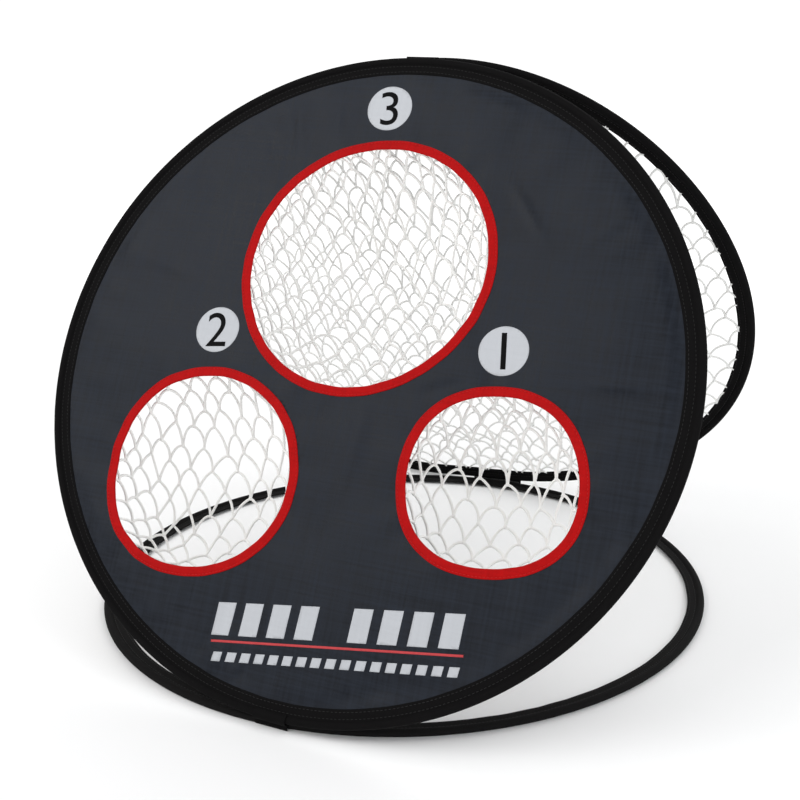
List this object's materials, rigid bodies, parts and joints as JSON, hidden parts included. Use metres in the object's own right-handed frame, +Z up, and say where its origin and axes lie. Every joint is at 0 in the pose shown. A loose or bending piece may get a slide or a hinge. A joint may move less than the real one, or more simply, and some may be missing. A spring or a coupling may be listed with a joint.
{
  "type": "golf chipping net",
  "caption": "Wedge-shaped folding golf chipping target: round fabric panel with bound holes and net pockets, on spring hoops with a net-filled rear hoop and an open base hoop.",
  "frame": {"origin": "on the ground, under the middle of the base hoop", "axes": "+Z up, +Y away from the player, from the front foot to the rear foot, +X to the player's right"},
  "size_m": [0.6099, 0.6218, 0.5378],
  "materials": {
    "sleeve_black": "dense matt black polyester tape",
    "panel_navy": "dark slate woven nylon, faint sheen",
    "binding_red": "red folded binding tape",
    "net_white": "white knotted twine net",
    "print_grey": "pale grey screen print",
    "print_red": "thin red screen print",
    "spring_steel": "bright spring wire",
    "ferrule_steel": "crimped tube",
    "closure_black": "hook-and-loop tape"
  },
  "bodies": {
    "base": {"base_sleeve": "sleeve_black", "base_hoop_wire": "spring_steel", "base_hoop_ferrule": "ferrule_steel", "closure_loop_strip": "closure_black"},
    "front": {"front_sleeve": "sleeve_black", "front_hoop_wire": "spring_steel", "front_hoop_ferrule": "ferrule_steel", "front_panel": "panel_navy", "emblem_bars": "print_grey", "emblem_rule": "print_red", "emblem_dashes": "print_grey", "front_hinge_tie": "sleeve_black", "hole_binding_1": "binding_red", "pocket_net_1": "net_white", "number_disc_1": "print_grey", "hole_binding_2": "binding_red", "pocket_net_2": "net_white", "number_disc_2": "print_grey", "hole_binding_3": "binding_red", "pocket_net_3": "net_white", "number_disc_3": "print_grey"},
    "apex": {"apex_tie": "sleeve_black"},
    "rear": {"rear_sleeve": "sleeve_black", "rear_hoop_wire": "spring_steel", "rear_hoop_ferrule": "ferrule_steel", "rear_net": "net_white", "closure_flap": "sleeve_black", "closure_hook_strip": "closure_black"}
  },
  "joints": [
    {"name": "front_fold", "type": "hinge", "parent": "base", "child": "front", "pos_m": [0, -0.3014, 0.0034], "axis": [-1, 0, 0], "range_deg": [0, 60]},
    {"name": "apex_fold", "type": "hinge", "parent": "front", "child": "apex", "pos_m": [0, -0.0045, 0.53323], "axis": [1, 0, 0], "range_deg": [0, 150]},
    {"name": "rear_fold", "type": "hinge", "parent": "apex", "child": "rear", "pos_m": [0, 0.0045, 0.53323], "axis": [1, 0, 0], "range_deg": [0, 150]}
  ],
  "couplings": [
    {"joint": "apex_fold", "follows": "front_fold", "ratio": 2.5},
    {"joint": "rear_fold", "follows": "front_fold", "ratio": 2.5}
  ]
}
